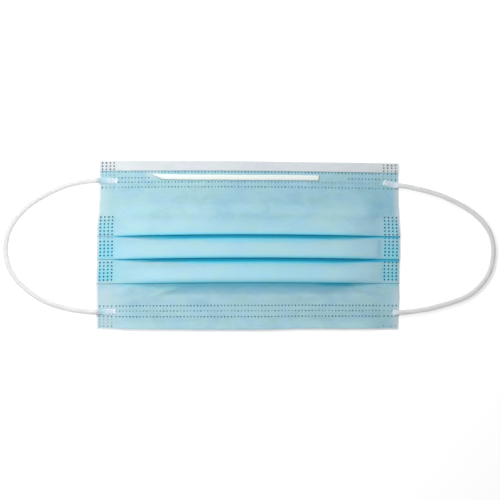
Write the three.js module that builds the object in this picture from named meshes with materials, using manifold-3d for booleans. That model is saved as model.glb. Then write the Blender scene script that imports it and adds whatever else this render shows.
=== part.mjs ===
// A disposable pleated face mask with a nose strip and two elastic ear loops, lying flat, front up.
// Units are millimetres. +X runs to the right across the front, +Y towards the nose edge and +Z up,
// out of the front. The origin lies on the surface that the mask rests on, under its middle.
import * as THREE from "three";
import Module from "manifold-3d";

// Cloth
const CLOTH = 1.0; // wall of the bonded plies
const GAP = 0.3; // clearance between neighbouring pieces
const LAYER_PITCH = CLOTH + 0.35; // from one layer of a pleat up to the next

// The panel's outline
const WIDTH = 176;
const NOSE_Y = 49; // nose edge at the left corner
const CHIN_Y = -NOSE_Y; // chin edge at the left corner
const NOSE_DROP = 1.2; // the nose edge falls by this much on its way to the right corner
const CHIN_RISE = 0.6; // the chin edge rises by this much
const EDGE_BOW = 0.4; // both edges bulge outwards by this much in the middle
const PLEAT_BOW = 1.25; // and the pleats between them arch towards the nose
const SIDE_EDGES = [
  // distance of the left and right side edges from the middle, from nose to chin
  { y: 49, left: 85.9, right: 86.9 },
  { y: 21, left: 86.8, right: 87.4 },
  { y: 15, left: 87.5, right: 87.8 },
  { y: 0, left: 87.9, right: 88.1 },
  { y: -23, left: 88.1, right: 87.7 },
  { y: -49, left: 88.1, right: 87.2 },
];

// Pleats, from nose to chin. Each hangs over the panel below it like a clapboard: its visible edge
// lies at edgeY, and in the middle of the mask that edge stands puff above the stacked layers.
const PLEATS = [
  { edgeY: 5.2, puff: 0.8 },
  { edgeY: -8.3, puff: 0.8 },
  { edgeY: -22.3, puff: 0.2 },
];
const PLEAT_DEPTH = 10; // from a pleat's visible edge back to its hidden fold
const PLEAT_LIFT = 0.15; // the pleats hold the cloth this far off the surface
const RISE_RUN = 9; // the top panel starts to climb this far above the first hidden fold
const CHIN_CREASE_Y = -30; // crease below which the chin panel lies flat
const CHIN_LIFT = 0.7; // how much more the chin panel is lifted under the last pleat
const PUFF_LEAD = 4; // a pleat starts to puff up this far above its hidden fold
const PUFF_RUN = 30; // and its puff fades over this distance towards the side welds

// Side welds, where all the layers are pressed together
const WELD_INNER_X = 76; // the open pleats end here
const WELD_PRESSED_X = 80; // and from here to the side edge the cloth is pressed flat
const PRESSED_STACK = 2.0; // height of the three pressed layers of a pleat
const WELD_PROUD = 0.15; // a weld stands this far proud of the open cloth that runs into it
const WELD_OVERLAP = 0.6; // and takes it in over this length
const OVER_CLOTH = CLOTH + WELD_PROUD + GAP; // height of the underside of a piece that lies over a weld

// Sections and points that the cloth is drawn with
const RIGHT_HALF_X = [15, 30, 42, 52, 60, 68, WELD_INNER_X];
const OPEN_X = [...RIGHT_HALF_X.map((x) => -x).reverse(), 0, ...RIGHT_HALF_X];
const PANEL_POINTS = 9; // down the front of each panel
const RETURN_POINTS = 4; // along the hidden layer of a pleat
const FOLD_POINTS = 4; // round a fold
const CHIN_POINTS = 7; // from the last hidden fold to the chin crease

// Lining margin and nose strip
const MARGIN_WIDTH = 5.8; // how far the lining is turned over on to the front
const MARGIN_BEND = 0.4; // its turn at the nose edge is blunted by this much
const CLOTH_NOSE_Y = NOSE_Y - CLOTH - GAP; // where the panel's own cloth ends, inside that turn
const STRIP_LEFT_X = -56.4;
const STRIP_RIGHT_X = 40.9;
const STRIP_WIDTH = 3.1;
const STRIP_THICKNESS = 1.0;
const STRIP_Y = 39.5;
const STRIP_SLANT = 7; // the left end is cut off at a slant over this length
const STRIP_TURN = THREE.MathUtils.degToRad(-0.4);
const STRIP_BEVEL = 0.2;

// Ear loops
const CORD_WIDTH = 2.8;
const CORD_THICKNESS = 2.2;
const CORD_SIDES = 8;
const CORD_STEPS = 28;
const ON_FLOOR = CORD_THICKNESS / 2 + 0.1; // height of the cord's middle over the surface
const ON_CLOTH = OVER_CLOTH + CORD_THICKNESS / 2; // on the front of the panel
const BESIDE_CLOTH = 1.6; // and on its way down past the side edge
const LEFT_ROUTE = [
  [-76.0, 37.4, ON_CLOTH],
  [-82.0, 37.8, ON_CLOTH],
  [-90.5, 37.6, ON_CLOTH],
  [-97.0, 36.8, BESIDE_CLOTH],
  [-104.6, 35.2, ON_FLOOR],
  [-113.8, 31.5, ON_FLOOR],
  [-122.2, 27.0, ON_FLOOR],
  [-130.0, 21.2, ON_FLOOR],
  [-136.1, 14.2, ON_FLOOR],
  [-139.9, 6.6, ON_FLOOR],
  [-141.1, -2.0, ON_FLOOR],
  [-139.6, -11.2, ON_FLOOR],
  [-135.2, -19.2, ON_FLOOR],
  [-128.8, -25.6, ON_FLOOR],
  [-121.4, -30.9, ON_FLOOR],
  [-112.6, -34.6, ON_FLOOR],
  [-104.0, -36.9, ON_FLOOR],
  [-97.0, -38.0, BESIDE_CLOTH],
  [-90.5, -38.6, ON_CLOTH],
  [-83.0, -38.7, ON_CLOTH],
  [-77.2, -38.5, ON_CLOTH],
];
const RIGHT_ROUTE = [
  [78.2, 36.6, ON_CLOTH],
  [83.5, 35.2, ON_CLOTH],
  [90.5, 34.3, ON_CLOTH],
  [97.0, 33.0, BESIDE_CLOTH],
  [104.1, 31.3, ON_FLOOR],
  [111.4, 29.0, ON_FLOOR],
  [118.1, 26.1, ON_FLOOR],
  [124.6, 22.7, ON_FLOOR],
  [130.8, 18.6, ON_FLOOR],
  [136.2, 13.5, ON_FLOOR],
  [140.0, 7.7, ON_FLOOR],
  [142.0, 0.4, ON_FLOOR],
  [142.0, -7.3, ON_FLOOR],
  [139.9, -15.6, ON_FLOOR],
  [135.1, -22.9, ON_FLOOR],
  [128.0, -28.9, ON_FLOOR],
  [120.3, -32.3, ON_FLOOR],
  [112.4, -34.7, ON_FLOOR],
  [104.4, -36.8, ON_FLOOR],
  [97.0, -38.0, BESIDE_CLOTH],
  [90.5, -38.8, ON_CLOTH],
  [83.8, -39.2, ON_CLOTH],
];

const COLOURS = { cloth: 0x9fd0e0, lining: 0xdde4e8, strip: 0xeef6f3, elastic: 0xe0e0e0 };

const wasm = await Module();
wasm.setup();

const ease = (t) => THREE.MathUtils.smoothstep(t, 0, 1);
const hiddenY = (k) => PLEATS[k].edgeY + PLEAT_DEPTH;
const puffShare = (x) => ease((WELD_INNER_X - Math.abs(x)) / PUFF_RUN);

// Where a point of the ideal rectangle lies once the panel's edges slant and bow.
function laidY(x, y) {
  const share = x / WIDTH + 0.5;
  const middle = Math.cos((Math.PI * x) / WIDTH);
  const edge = y / NOSE_Y; // from -1 at the chin edge to 1 at the nose edge
  const slant = edge > 0 ? NOSE_DROP : CHIN_RISE;
  return y - slant * share * edge + middle * (EDGE_BOW * edge + PLEAT_BOW * (1 - edge * edge));
}

// The x of the left (-1) or right (1) side edge at one y.
function sideEdgeX(side, y) {
  const column = side < 0 ? "left" : "right";
  const last = SIDE_EDGES.length - 2;
  const above = THREE.MathUtils.clamp(SIDE_EDGES.findLastIndex((row) => row.y >= y), 0, last);
  const [a, b] = SIDE_EDGES.slice(above, above + 2);
  return side * THREE.MathUtils.lerp(a[column], b[column], (a.y - y) / (a.y - b.y));
}

// Height of the middle of cloth that lies by itself.
function groundZ(y) {
  const riseStart = hiddenY(0) + RISE_RUN;
  const share = ease((riseStart - y) / RISE_RUN) * ease((y - CHIN_CREASE_Y) / RISE_RUN);
  return CLOTH / 2 + PLEAT_LIFT * share;
}

// Height of the middle of visible panel k: 0 is the top panel, and the last is the chin panel.
// Each one starts low, behind the pleat above it, and climbs over the pleat that it ends in.
function panelZ(k, x, y) {
  if (k === PLEATS.length) {
    const rise = ease((y - CHIN_CREASE_Y) / RISE_RUN) * ease((hiddenY(k - 1) - y) / RISE_RUN);
    return groundZ(y) + CHIN_LIFT * puffShare(x) * rise;
  }
  const start = k === 0 ? hiddenY(0) + RISE_RUN : hiddenY(k - 1);
  const end = hiddenY(k) + LAYER_PITCH;
  const climb = 2 * LAYER_PITCH * ease((start - y) / (start - end));
  const puffStart = end + PUFF_LEAD;
  const open = ease((puffStart - y) / (puffStart - PLEATS[k].edgeY));
  const puff = PLEATS[k].puff * puffShare(x) * open;
  return (y < hiddenY(k) ? panelZ(k + 1, x, y) : groundZ(y)) + climb + puff;
}

// Height of the middle of pleat k's hidden layer, which runs back up from the visible edge.
function returnZ(k, x, y) {
  const puff = PLEATS[k].puff * puffShare(x) * ease((hiddenY(k) - y) / PLEAT_DEPTH);
  return panelZ(k + 1, x, y) + LAYER_PITCH + puff;
}

// Points along one layer from one y to another, each with the direction that its front faces.
function layerPoints(heightAt, from, to, count) {
  const facing = from > to ? 1 : -1; // the front faces down on the layers that run back up
  const near = 0.05; // the slope is taken between points this far to either side
  return Array.from({ length: count }, (_, i) => {
    const y = THREE.MathUtils.lerp(from, to, i / (count - 1));
    const slope = (heightAt(y + near) - heightAt(y - near)) / (2 * near);
    const length = Math.hypot(1, slope);
    return { y, z: heightAt(y), ny: (-slope / length) * facing, nz: facing / length };
  });
}

// The round turn from layer a's last point to layer b's first. It faces the chin (-1) at a visible
// edge and the nose (1) at a hidden fold.
function foldPoints(a, b, side) {
  const [cy, cz] = [(a.y + b.y) / 2, (a.z + b.z) / 2];
  const radius = Math.hypot(a.y - b.y, a.z - b.z) / 2;
  const start = Math.atan2(a.z - cz, a.y - cy);
  return Array.from({ length: FOLD_POINTS }, (_, i) => {
    const angle = start - side * ((i + 1) / (FOLD_POINTS + 1)) * Math.PI;
    const [uy, uz] = [Math.cos(angle), Math.sin(angle)];
    const facing = side < 0 ? 1 : -1; // the front is outside a visible edge, inside a hidden fold
    return { y: cy + radius * uy, z: cz + radius * uz, ny: uy * facing, nz: uz * facing };
  });
}

// The middle of the cloth at one x, from the nose edge down through every pleat to the chin edge.
function clothLine(x) {
  const inset = (LAYER_PITCH + CLOTH) / 2; // a fold's centre lies this far inside its outer face
  const [noseEnd, chinEnd] = [CLOTH_NOSE_Y - WELD_PROUD, CHIN_Y + WELD_PROUD];
  const riseStart = hiddenY(0) + RISE_RUN;
  const panel = (k, from, to, count) => layerPoints((y) => panelZ(k, x, y), from, to, count);
  const line = panel(0, noseEnd, riseStart, 2);
  let from = riseStart;
  for (let k = 0; k < PLEATS.length; k++) {
    const edge = PLEATS[k].edgeY + inset;
    const hidden = hiddenY(k) - inset;
    const front = panel(k, from, edge, PANEL_POINTS);
    const back = layerPoints((y) => returnZ(k, x, y), edge, hidden, RETURN_POINTS);
    const [next] = panel(k + 1, hidden, edge, PANEL_POINTS);
    line.push(...(k === 0 ? front.slice(1) : front));
    line.push(...foldPoints(front.at(-1), back[0], -1));
    line.push(...back);
    line.push(...foldPoints(back.at(-1), next, 1));
    from = hidden;
  }
  line.push(...panel(PLEATS.length, from, CHIN_CREASE_Y, CHIN_POINTS));
  line.push(...panel(PLEATS.length, CHIN_CREASE_Y, chinEnd, 2).slice(1));
  return line;
}

// The closed outline of the cloth's section at one x: down its front, and back up behind.
function clothSection(x) {
  const line = clothLine(x);
  const face = (p, side) => {
    const [y, z] = [p.y + (side * p.ny * CLOTH) / 2, p.z + (side * p.nz * CLOTH) / 2];
    return [x, laidY(x, y), z];
  };
  return [...line.map((p) => face(p, 1)), ...line.map((p) => face(p, -1)).reverse()];
}

// A closed wall through sections from left to right. Each is a closed outline of points [x, y, z]
// that runs down the wall's front and back up behind it, with as many points on either side.
function loft(sections) {
  const count = sections[0].length;
  const index = [];
  for (let s = 0; s + 1 < sections.length; s++) {
    for (let i = 0; i < count; i++) {
      const [a, b] = [s * count + i, s * count + ((i + 1) % count)];
      index.push(a, b, a + count, b, b + count, a + count);
    }
  }
  const end = (sections.length - 1) * count;
  for (let i = 0; i + 1 < count / 2; i++) {
    const [front, nextFront, nextBack, back] = [i, i + 1, count - 2 - i, count - 1 - i];
    index.push(front, nextBack, nextFront, front, back, nextBack);
    index.push(end + front, end + nextFront, end + nextBack, end + front, end + nextBack, end + back);
  }
  const geometry = new THREE.BufferGeometry()
    .setAttribute("position", new THREE.Float32BufferAttribute(sections.flat(2), 3))
    .setIndex(index);
  geometry.computeVertexNormals();
  return geometry;
}

function toSolid(geometry) {
  return new wasm.Manifold(
    new wasm.Mesh({
      numProp: 3,
      vertProperties: new Float32Array(geometry.attributes.position.array),
      triVerts: new Uint32Array(geometry.index.array),
    }),
  );
}

function toGeometry(solid) {
  const mesh = solid.getMesh();
  const geometry = new THREE.BufferGeometry()
    .setAttribute("position", new THREE.Float32BufferAttribute(mesh.vertProperties, 3))
    .setIndex([...mesh.triVerts]);
  geometry.computeVertexNormals();
  return geometry;
}

// The rows of a side weld from nose to chin: the panel k that lies on top there, and whether the
// three layers of a pleat are stacked below it. Each visible edge is a step between two rows.
function weldRows() {
  const rows = [
    { y: CLOTH_NOSE_Y, k: 0, stacked: false },
    { y: hiddenY(0) + RISE_RUN, k: 0, stacked: false },
    { y: hiddenY(0) + RISE_RUN / 2, k: 0, stacked: false },
  ];
  for (let k = 0; k < PLEATS.length; k++) {
    const top = PLEATS[k].edgeY - WELD_PROUD;
    rows.push({ y: hiddenY(k) + LAYER_PITCH, k, stacked: k === 0 });
    rows.push({ y: hiddenY(k), k, stacked: true });
    rows.push({ y: (hiddenY(k) + top) / 2, k, stacked: true });
    rows.push({ y: top, k, stacked: true });
    rows.push({ y: top - WELD_PROUD, k: k + 1, stacked: false });
  }
  rows.push({ y: CHIN_CREASE_Y, k: PLEATS.length, stacked: false });
  rows.push({ y: CHIN_Y, k: PLEATS.length, stacked: false });
  return rows;
}

// One side weld: a sheet that takes in the stacked layers where the open pleats run into it, and
// is pressed flat from there to the side edge.
function sideWeld(side) {
  const joined = ({ y, k }) => panelZ(k, side * WELD_INNER_X, y) + CLOTH / 2 + WELD_PROUD;
  const pressed = ({ stacked }) => (stacked ? PRESSED_STACK : CLOTH);
  const columns = [
    { xAt: () => side * (WELD_INNER_X - WELD_OVERLAP), zAt: joined },
    { xAt: () => side * WELD_INNER_X, zAt: joined },
    { xAt: () => side * WELD_PRESSED_X, zAt: pressed },
    { xAt: (y) => sideEdgeX(side, y), zAt: pressed },
  ];
  const sections = columns.map(({ xAt, zAt }) => {
    const front = weldRows().map((row) => [xAt(row.y), laidY(xAt(row.y), row.y), zAt(row)]);
    return [...front, ...front.map(([x, y]) => [x, y, 0]).reverse()];
  });
  return toSolid(loft(side < 0 ? sections.reverse() : sections));
}

// The cloth with its open pleats, and the side welds that close them.
function pleatedPanel() {
  const openPleats = toSolid(loft(OPEN_X.map(clothSection)));
  return toGeometry(openPleats.add(sideWeld(-1)).add(sideWeld(1)));
}

// The lining comes up round the nose edge and lies on the front, over the panel's margin.
function liningMargin() {
  const [under, top] = [OVER_CLOTH, OVER_CLOTH + CLOTH];
  const free = NOSE_Y - MARGIN_WIDTH;
  const outline = [
    [NOSE_Y, 0],
    [NOSE_Y, top - MARGIN_BEND],
    [NOSE_Y - MARGIN_BEND, top],
    [free, top],
    [free, under],
    [NOSE_Y - CLOTH - MARGIN_BEND / 2, under],
    [NOSE_Y - CLOTH, under - MARGIN_BEND / 2],
    [NOSE_Y - CLOTH, 0],
  ];
  const [leftEnd, rightEnd] = [sideEdgeX(-1, NOSE_Y), sideEdgeX(1, NOSE_Y)];
  const xs = [leftEnd, -WELD_PRESSED_X, ...OPEN_X, WELD_PRESSED_X, rightEnd];
  return loft(xs.map((x) => outline.map(([y, z]) => [x, laidY(x, y), z])));
}

// A flat strip with softened edges, its left end cut off at a slant.
function noseStrip() {
  const inset = STRIP_BEVEL;
  const [left, right, half] = [STRIP_LEFT_X + inset, STRIP_RIGHT_X - inset, STRIP_WIDTH / 2 - inset];
  const outline = new THREE.Shape([
    new THREE.Vector2(left, half),
    new THREE.Vector2(left + STRIP_SLANT, -half),
    new THREE.Vector2(right, -half),
    new THREE.Vector2(right, half),
  ]);
  return new THREE.ExtrudeGeometry(outline, {
    depth: STRIP_THICKNESS - 2 * inset,
    bevelThickness: inset,
    bevelSize: inset,
    bevelSegments: 1,
  }).translate(0, 0, inset);
}

function earLoop(route) {
  const path = new THREE.CatmullRomCurve3(
    route.map((point) => new THREE.Vector3(...point)),
    false,
    "centripetal",
  );
  const section = Array.from({ length: CORD_SIDES }, (_, i) => {
    const angle = ((i + 0.5) / CORD_SIDES) * 2 * Math.PI;
    const across = Math.cos(Math.PI / CORD_SIDES); // the flats, not the corners, set the size
    return new THREE.Vector2(
      ((CORD_THICKNESS / 2) * Math.cos(angle)) / across,
      ((CORD_WIDTH / 2) * Math.sin(angle)) / across,
    );
  });
  return new THREE.ExtrudeGeometry(new THREE.Shape(section), {
    steps: CORD_STEPS,
    extrudePath: path,
  });
}

function piece(name, geometry, color, roughness) {
  const material = new THREE.MeshStandardMaterial({ color, roughness, metalness: 0 });
  const mesh = new THREE.Mesh(geometry, material);
  mesh.name = name;
  return mesh;
}

const mask = new THREE.Group();

mask.add(piece("pleated_panel", pleatedPanel(), COLOURS.cloth, 0.85));
mask.add(piece("lining_margin", liningMargin(), COLOURS.lining, 0.85));

const strip = piece("nose_strip", noseStrip(), COLOURS.strip, 0.4);
strip.position.set(0, STRIP_Y, CLOTH + GAP);
strip.rotation.z = STRIP_TURN;
mask.add(strip);

mask.add(piece("ear_loop_left", earLoop(LEFT_ROUTE), COLOURS.elastic, 0.9));
mask.add(piece("ear_loop_right", earLoop(RIGHT_ROUTE), COLOURS.elastic, 0.9));

export default mask;
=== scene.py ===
"""The looks of a flat-folded disposable face mask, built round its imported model.

The mask lies on its back, nose edge towards +Y. A blue outer ply and a white inner ply are folded
together into three pleats and welded at many small points. Lengths here are millimetres, in the
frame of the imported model, until add_mesh turns them into metres.
"""
import math
from itertools import pairwise

import bmesh
import bpy
import numpy as np
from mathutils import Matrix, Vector


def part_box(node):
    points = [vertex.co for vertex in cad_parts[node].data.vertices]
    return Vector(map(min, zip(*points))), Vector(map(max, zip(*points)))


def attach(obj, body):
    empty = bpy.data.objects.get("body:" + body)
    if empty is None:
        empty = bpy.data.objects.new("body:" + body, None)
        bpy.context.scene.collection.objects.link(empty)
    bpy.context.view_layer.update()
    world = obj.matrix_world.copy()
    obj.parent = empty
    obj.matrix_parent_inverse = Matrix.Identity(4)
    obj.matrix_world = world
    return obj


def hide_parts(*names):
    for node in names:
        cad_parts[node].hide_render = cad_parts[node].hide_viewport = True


MM = 0.001
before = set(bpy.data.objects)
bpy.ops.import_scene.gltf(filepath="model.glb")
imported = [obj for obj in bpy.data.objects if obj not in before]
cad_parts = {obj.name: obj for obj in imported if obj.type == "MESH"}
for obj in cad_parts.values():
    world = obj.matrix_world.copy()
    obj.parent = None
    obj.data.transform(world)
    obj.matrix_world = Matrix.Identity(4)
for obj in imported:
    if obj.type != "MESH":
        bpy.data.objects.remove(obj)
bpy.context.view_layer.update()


def table(columns, *rows):
    """A dictionary for each row, with these columns as its keys."""
    return [dict(zip(columns.split(), row)) for row in rows]


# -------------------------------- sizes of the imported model

STRIP_LO, STRIP_HI = (np.array(corner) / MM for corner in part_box("nose_strip"))

HALF_WIDTH = 88.0
NOSE_Y = 49.0
CHIN_Y = -NOSE_Y
NOSE_DROP = 1.2  # the nose edge falls by this much on its way to the right corner
CHIN_RISE = 0.6  # the chin edge rises by this much
EDGE_BOW = 0.4  # both edges bulge outwards by this much in the middle
PLEAT_BOW = 1.25  # and the pleats between them arch towards the nose
OUTLINE_HUG = 6  # the power of y by which the edges' unevenness fades away from them
SIDE_EDGES = table(
    # distance of the left and right side edges from the middle, from chin to nose
    "y left right",
    (-49, 87.8, 86.8),
    (-31, 87.9, 87.6),
    (-23, 88.0, 87.4),
    (-16, 87.8, 87.3),
    (-2, 87.5, 87.8),
    (6, 87.5, 87.9),
    (12, 87.4, 87.5),
    (21, 86.7, 87.3),
    (27, 86.3, 87.0),
    (49, 86.1, 86.9),
)
OUTLINE = table(
    # how far the nose and chin edges lie above a plain arch, from left to right
    "x nose chin",
    (-86, 0.3, 0.75),
    (-75, 0.35, 0.35),
    (-62, 0.35, 0.1),
    (-5, 0.25, -0.15),
    (12, 0.1, -0.1),
    (30, 0.0, 0.45),
    (55, 0.0, 0.2),
    (80, 0.0, 0.0),
)
PLEATS = table(
    # from nose to chin: where the visible edge lies, how high one layer lies over the next, how far
    # the edge puffs up in the middle, and over what distance from either weld the pleat opens
    "edge_y pitch puff left_run right_run",
    (5.12, 1.0, 0.8, 22, 26),
    (-8.35, 1.0, 0.6, 20, 24),
    (-22.5, 0.9, 0.2, 36, 28),
)
PAINTED_PLEAT_SHADOWS = table(
    # painted shadow under the pleats: how deep the blue is below each edge and where its line crosses
    # the right weld, how wide the deepest band is, over what distance it fades below that, how far in
    # from either weld it takes to deepen and to reach its full width, and what share of that width it
    # has at either weld
    "depth weld core run left right left_run right_run left_end right_end",
    (1.0, 0.75, 1.6, 2.6, 6, 4, 42, 38, 0.3, 0.45),
    (1.0, 0.7, 2.2, 2.2, 5.5, 3, 60, 30, 0.3, 0.55),
    (0.6, 0.45, 0.0, 5.0, 8, 9, 36, 28, 0.5, 0.65),
)
# A patch of panel k: its middle, half its size, over what distances it fades, how far it moves to
# the right for each millimetre towards the nose, and how strong it is
PATCH = "k x y half_x half_y fade_x fade_y lean share"
PAINTED_SHADE_PATCHES = table(
    # painted shade: on the chin panel under the lowest pleat, on the top panel, and along creases by the
    # right weld
    PATCH,
    (3, 9, -24.2, 51, 4.6, 14, 1.5, 2.2, 1.0),
    (0, 82, 26, 17, 10, 8, 7, -0.5, 0.8),
    (0, 8, 22, 30, 14, 20, 10, 0, 0.33),
    (0, 58, 30, 26, 9, 18, 9, 0, 0.42),
    (1, 76.2, -2, 1.5, 5, 1.6, 2, 0, 1.0),
    (2, 78.4, -15, 1.0, 6, 1.2, 2, 0, 0.8),
)
FOLD_SHADE_PATCHES = table(
    # where the deep blue of the painted fold shade is laid on the panels, and how much of the darkest
    # painted shadow besides
    PATCH + " dark",
    (1, 6, 2.3, 30, 1.8, 20, 2.6, 0, 0.36, 0),
    (1, -77, -2, 4, 6, 8, 3, 0, 0.12, 0),
    (2, -76, -15, 5, 6, 12, 3, 0, 0.14, 0),
    (2, 14, -14, 28, 7, 22, 5, 0, 0.1, 0),
    (3, 51, -23.0, 10, 0.9, 9, 1.0, 0, 0.8, 0.6),
)
PALES = table(
    # where the cloth looks paler
    PATCH,
    (0, -87.5, 27, 4, 11, 7, 9, 0, 0.45),
    (3, -90, -39, 14, 15, 20, 8, 0, 0.5),
    (0, 88, 27, 2.4, 13, 4.2, 9, 0, 0.75),
    (3, 88, -39, 3.2, 14, 5, 8, 0, 0.7),
    (0, -56.5, 41.5, 4, 3, 3, 2, 0, 0.55),
)
LAST = len(PLEATS)  # the chin panel's number, counted from 0 at the top panel
PLEAT_DEPTH = 10
RISE_RUN = 9  # the top panel starts to climb this far above the first hidden fold
CHIN_CREASE_Y = -28.3
CHIN_SLOPE_RUN = 8  # the chin panel rises over this distance above its crease
CHIN_LIFT = 2.2
PUFF_RUN = 4  # a panel puffs up from this far above the pleat that it climbs over
PUFF_WAVE = 0.18  # and does so by this share more or less from place to place
RETURN_PUFF = 0.6  # the hidden layer takes this share of it

# -------------------------------- the plies

PLY = 0.2  # thickness of one loose ply
FUSED_PLY = 0.1  # and of one that is pressed in the side welds
OPEN_GAP = 0.06  # from the middle of the cloth to either ply where they lie loose
WELDED_GAP = 0.01  # and where they are welded
PRESSED_PITCH = 0.24  # from one layer of a pleat up to the next in the side welds
OPEN_MID = 0.34  # height of the middle of loose cloth
PRESSED_MID = FUSED_PLY + WELDED_GAP + 0.02  # and of cloth in the side welds
PLEAT_LIFT = 0.1
FOLD_REACH = 0.2  # how far a fold bulges past the layers that it joins
FOLD_INSET = FOLD_REACH + OPEN_GAP + PLY  # from a fold's outermost line back to its layers
SHOULDER_DROP = 0.12  # a panel bends down by this much before its visible edge
SHOULDER_RUN = 1.6
WELD_X = 79.5  # the side welds start here
WELD_FADE = 9.0  # and the cloth is fully loose this far inside them
# At these edges the blue ply ends this far inside the outline, and the white one this far outside
UNEVEN = {"left": 0.5, "right": 0.25, "chin": 0.5}
EDGE_BAND = 0.5  # a point is on an edge when it lies this close to it
CURL = 0.7  # the chin edge lifts off what it lies on by this much
CURL_RUN = 5
EDGE_GLOW = 0.65  # painted glow: how far the blue deepens at a pleat's edge, and over what distance above it
EDGE_GLOW_RUN = 0.8
BLOCK_GLOW = 0.38  # how deep the blue is in the side blocks, and over what distance it starts
BLOCK_FADE = 1.5
CORE_FADE = 0.7  # and over what distance the darkest painted shadow under a pleat ends
RELIEF = 0.35  # height of the slow waves in loose cloth
NOSE_ROWS_Y = 30  # the rows of dots that weld the nose and chin edges lie beyond these
CHIN_ROWS_Y = -32
ROWS_FADE = 3
ROWS_HOLD = 0.75  # and these rows hold the waves down by this share
UNDERLAY = 0.45  # how far further layers show through the panels below the top one

DOT_PITCH = 1.97  # from one column of dots to the next between the welds
DOT_CELL = 1.25  # width and height of the grid cell that holds a dot
LAST_DOT = 39 * DOT_PITCH  # distance of the outermost of these columns from the middle
WELD_DOTS = (79.6, 81.9, 84.2, 86.5)  # and of the columns in the side welds
LINE_STEP = 1.3  # widest gap between two lines of the grid
FOLD_LINES = 6
RETURN_LINES = 7

# The lining is turned over the nose edge on to the front
MARGIN_WIDTH = 5.8
TURN_RADIUS = 0.22
TURN_LINES = 8
TURN_BULGE = 0.05  # the turn is looser by this much on average
NOSE_END = NOSE_Y - 1.45  # the blue ply ends here, inside the turn

# Weld dots
DOT_RIM = 0.61
DOT_FLOOR = 0.53
RIM_RISE = 0.05
DOT_SIDES = 8
FAINTEST_DOT = 0.1  # fainter dots are left out
HARDEST_DOT = 1.2  # and none is pressed in harder
BLOCK_ROWS = 19
BLOCK_TOP = 16.4
BLOCK_PITCH = 2.035
BLOCK_FAINT = (6, 12)  # rows of the side blocks that lie in a fold's shadow, and are shallow
CORNER_X = (79, 87)  # the distances from the middle between which a row runs
FULL_X = (0, 87)
OUTER_X = (58, 87)


def block_rows():
    """The rows of dots in the side blocks, which hold the pleats closed."""
    for i in range(BLOCK_ROWS):
        y = BLOCK_TOP - BLOCK_PITCH * i
        press = 0.4 if i in BLOCK_FAINT else 1.0
        yield y, CORNER_X, press, press, 0.12


DOT_ROWS = table(
    # y and reach of each row, how deep its dots are pressed at the left and at the right end, and
    # how much that varies from dot to dot
    "y reach left right spread",
    (47.6, CORNER_X, 0.8, 0.6, 0.15),
    (45.8, CORNER_X, 0.8, 0.6, 0.15),
    (44.0, CORNER_X, 0.8, 0.6, 0.15),
    (42.3, FULL_X, 0.45, 0.5, 0.15),
    (40.6, CORNER_X, 0.35, 0.3, 0.2),
    (39.0, OUTER_X, 0.5, 0.5, 0.2),
    (37.7, CORNER_X, 0.3, 0.3, 0.2),
    (36.4, FULL_X, 0.55, 0.25, 0.2),
    (34.9, CORNER_X, 0.25, 0.25, 0.2),
    (33.5, FULL_X, 0.55, 0.45, 0.2),
    *block_rows(),
    (-35.4, FULL_X, 0.6, 0.65, 0.15),
    (-36.8, CORNER_X, 0.35, 0.0, 0.2),
    (-38.4, FULL_X, 0.42, 0.5, 0.2),
    (-40.0, CORNER_X, 0.35, 0.0, 0.2),
    (-41.6, FULL_X, 0.6, 0.6, 0.15),
    (-43.4, CORNER_X, 0.35, 0.0, 0.2),
    (-45.4, CORNER_X, 0.35, 0.0, 0.2),
    (-47.4, CORNER_X, 0.5, 0.35, 0.2),
)
CREASES = table(
    # soft ridges from one point to another: how high they stand and how wide they are
    "x1 y1 x2 y2 lift width",
    (-59, -31, -37, -23.5, 0.5, 1.2),
    (-80, -30, -66, -24, 0.25, 1.6),
    (-36, -28.8, 18, -28.6, 0.2, 1.0),
    (16, -27.0, 42, -31.5, 0.35, 1.3),
    (58, -24.0, 86, -30.5, 0.35, 1.1),
    (-58, 17, -40, 20, 0.18, 2.0),
    (28, 17, 46, 21.5, 0.3, 1.8),
    (20, 10, 40, 13, 0.2, 2.4),
    (76.5, 4.5, 77, -6, 0.3, 0.9),
    (76, -9.5, 77, -14, 0.3, 0.7),
)

# -------------------------------- ear loops

CORD_WIDTH = 2.8
CORD_THICKNESS = 2.2
ON_FLOOR = CORD_THICKNESS / 2 + 0.1  # height of a cord's middle line
ON_CLOTH = 2.55
BESIDE_CLOTH = 1.6
CLOTH_X = 92  # a cord lies on the cloth inside this, and on the floor outside FLOOR_X
FLOOR_X = 100
# x and y of the points through which the cords run
LEFT_ROUTE = [
    (-76.0, 37.4), (-82.0, 37.8), (-90.5, 37.6), (-97.0, 36.8), (-104.6, 35.2),
    (-113.8, 31.5), (-122.2, 27.0), (-130.0, 21.2), (-136.1, 14.2), (-139.9, 6.6),
    (-141.1, -2.0), (-139.6, -11.2), (-135.2, -19.2), (-128.8, -25.6), (-121.4, -30.9),
    (-112.6, -34.6), (-104.0, -36.9), (-97.0, -38.0), (-90.5, -38.6), (-83.0, -38.7),
    (-77.2, -38.5),
]
RIGHT_ROUTE = [
    (78.2, 36.6), (83.5, 35.2), (90.5, 34.3), (97.0, 33.0), (104.1, 31.3),
    (111.4, 29.0), (118.1, 26.1), (124.6, 22.7), (130.8, 18.6), (136.2, 13.5),
    (140.0, 7.7), (142.0, 0.4), (142.0, -7.3), (139.9, -15.6), (135.1, -22.9),
    (128.0, -28.9), (120.3, -32.3), (112.4, -34.7), (104.4, -36.8), (97.0, -38.0),
    (90.5, -38.8), (83.8, -39.2),
]
RING_STEP = 0.3  # from one ring of a cord's mesh to the next
CORD_SIDES = 28
WALES = 9  # columns of stitches round the cord
COURSE = 0.9  # length of one stitch
STITCH_SWING = 1.1  # how far these columns sway to either side, as a phase angle
STITCH_RELIEF = 0.05
SLACK = 0.02  # the cord is thicker and thinner by this share along its length
FLAT_X = 89  # inside this the cord is pressed flat on the cloth
FLAT_RUN = 4.5
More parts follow.
